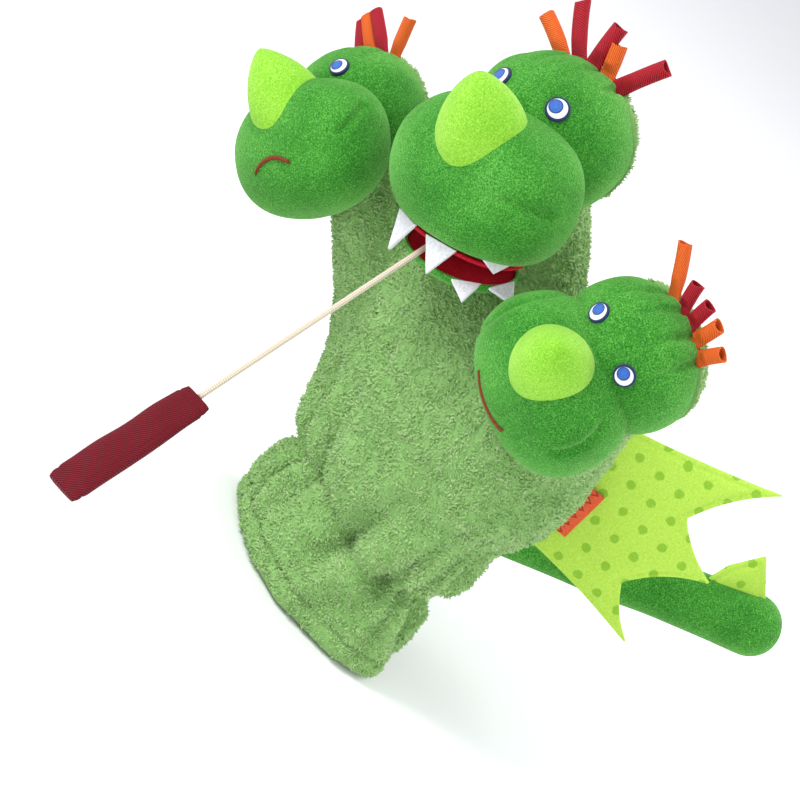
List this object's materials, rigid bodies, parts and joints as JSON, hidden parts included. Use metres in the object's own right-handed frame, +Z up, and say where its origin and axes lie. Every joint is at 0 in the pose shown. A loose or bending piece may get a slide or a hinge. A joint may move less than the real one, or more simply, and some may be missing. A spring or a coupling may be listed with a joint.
{
  "type": "hand puppet",
  "caption": "Glove puppet of a green dragon with plush heads on finger sleeves, a mouth that opens and a tongue on an elastic pull cord.",
  "frame": {"origin": "centre of the hem's lower face, where the hand goes in", "axes": "+Z up the forearm to the middle head, faces look towards -Y, +X to the right of somebody who faces the puppet"},
  "size_m": [0.2372, 0.3389, 0.253],
  "materials": {
    "plush": "fluffy sage green fleece",
    "velour": "short pile bright green velour",
    "horn_velour": "short pile lime velour",
    "dotted_lime": "padded lime cloth printed with green dots",
    "eye": "satin stitch embroidery, navy, white and blue",
    "orange_ribbon": "woven twill ribbon",
    "red_ribbon": "woven twill ribbon",
    "lining": "felt",
    "felt": "white felt",
    "cord": "round braided elastic",
    "stitch": "embroidery thread",
    "tongue_twill": "folded twill",
    "label": "woven label",
    "elastic": "flat woven elastic"
  },
  "bodies": {
    "glove": {"front_panel": "plush", "back_panel": "plush", "cuff_hem": "plush", "wrist_elastic": "elastic"},
    "left_neck": {"left_neck": "plush"},
    "left_head": {"left_eye_1": "eye", "left_eye_2": "eye", "left_hair_1": "orange_ribbon", "left_hair_2": "red_ribbon", "left_hair_3": "orange_ribbon", "left_hair_4": "red_ribbon", "left_hair_5": "orange_ribbon", "left_horn": "horn_velour", "left_mouth_stitch": "stitch", "left_muzzle": "velour", "left_nape": "plush", "left_skull": "velour"},
    "middle_neck": {"middle_neck": "plush"},
    "middle_head": {"middle_eye_1": "eye", "middle_eye_2": "eye", "middle_hair_1": "orange_ribbon", "middle_hair_2": "red_ribbon", "middle_hair_3": "red_ribbon", "middle_hair_4": "orange_ribbon", "middle_hair_5": "red_ribbon", "middle_horn": "horn_velour", "middle_muzzle": "velour", "middle_nape": "plush", "middle_palate_lining": "lining", "middle_skull": "velour", "middle_upper_tooth_1": "felt", "middle_upper_tooth_2": "felt", "middle_upper_tooth_3": "felt", "cord_eyelet": "stitch", "cord_knot": "cord", "pull_cord": "cord"},
    "right_neck": {"right_neck": "plush"},
    "right_head": {"right_eye_1": "eye", "right_eye_2": "eye", "right_hair_1": "orange_ribbon", "right_hair_2": "red_ribbon", "right_hair_3": "red_ribbon", "right_hair_4": "orange_ribbon", "right_hair_5": "orange_ribbon", "right_horn": "horn_velour", "right_mouth_stitch": "stitch", "right_muzzle": "velour", "right_nape": "plush", "right_skull": "velour"},
    "jaw": {"lower_jaw": "velour", "jaw_lining": "lining", "lower_tooth_1": "felt", "lower_tooth_2": "felt"},
    "tongue": {"tongue": "tongue_twill"},
    "tail": {"tail": "velour", "tail_fin": "dotted_lime"},
    "left_wing": {"left_wing": "dotted_lime"},
    "right_wing": {"right_wing": "dotted_lime", "side_label": "label"}
  },
  "joints": [
    {"name": "left_neck_sway", "type": "hinge", "parent": "glove", "child": "left_neck", "pos_m": [-0.058, -0.006, 0.1], "axis": [0, 1, 0], "range_deg": [-14, 4]},
    {"name": "left_head_nod", "type": "hinge", "parent": "left_neck", "child": "left_head", "pos_m": [-0.10121, -0.03481, 0.14041], "axis": [0.5864, -0.1354, 0.7986], "range_deg": [-14, 12]},
    {"name": "middle_neck_sway", "type": "hinge", "parent": "glove", "child": "middle_neck", "pos_m": [-0.012, 0.002, 0.138], "axis": [0, 1, 0], "range_deg": [-5, 7]},
    {"name": "middle_head_nod", "type": "hinge", "parent": "middle_neck", "child": "middle_head", "pos_m": [-0.0355, -0.0263, 0.1934], "axis": [0.9312, 0.1642, 0.3256], "range_deg": [-12, 12]},
    {"name": "right_neck_sway", "type": "hinge", "parent": "glove", "child": "right_neck", "pos_m": [0.04, 0, 0.116], "axis": [0, 1, 0], "range_deg": [-4, 14]},
    {"name": "right_head_nod", "type": "hinge", "parent": "right_neck", "child": "right_head", "pos_m": [0.052, -0.0208, 0.17099], "axis": [0.9318, 0.2151, -0.2924], "range_deg": [-14, 6]},
    {"name": "jaw_open", "type": "hinge", "parent": "middle_head", "child": "jaw", "pos_m": [-0.02151, -0.0365, 0.15852], "axis": [0.9312, 0.1642, 0.3256], "range_deg": [-6, 6]},
    {"name": "tongue_pull", "type": "slide", "parent": "middle_head", "child": "tongue", "axis": [-0.3365, 0.7032, 0.6263], "range_m": [0, 0.084], "deforming": ["pull_cord"]},
    {"name": "tail_wag", "type": "hinge", "parent": "glove", "child": "tail", "pos_m": [0.01, 0.04199, 0.06], "axis": [0, 0, 1], "range_deg": [-5, 71]},
    {"name": "left_wing_flap", "type": "hinge", "parent": "glove", "child": "left_wing", "pos_m": [-0.028, 0.0411, 0.1055], "axis": [0, 0, 1], "range_deg": [-10, 20]},
    {"name": "right_wing_flap", "type": "hinge", "parent": "glove", "child": "right_wing", "pos_m": [0.028, 0.0356, 0.1055], "axis": [0, 0, 1], "range_deg": [-20, 10]}
  ]
}
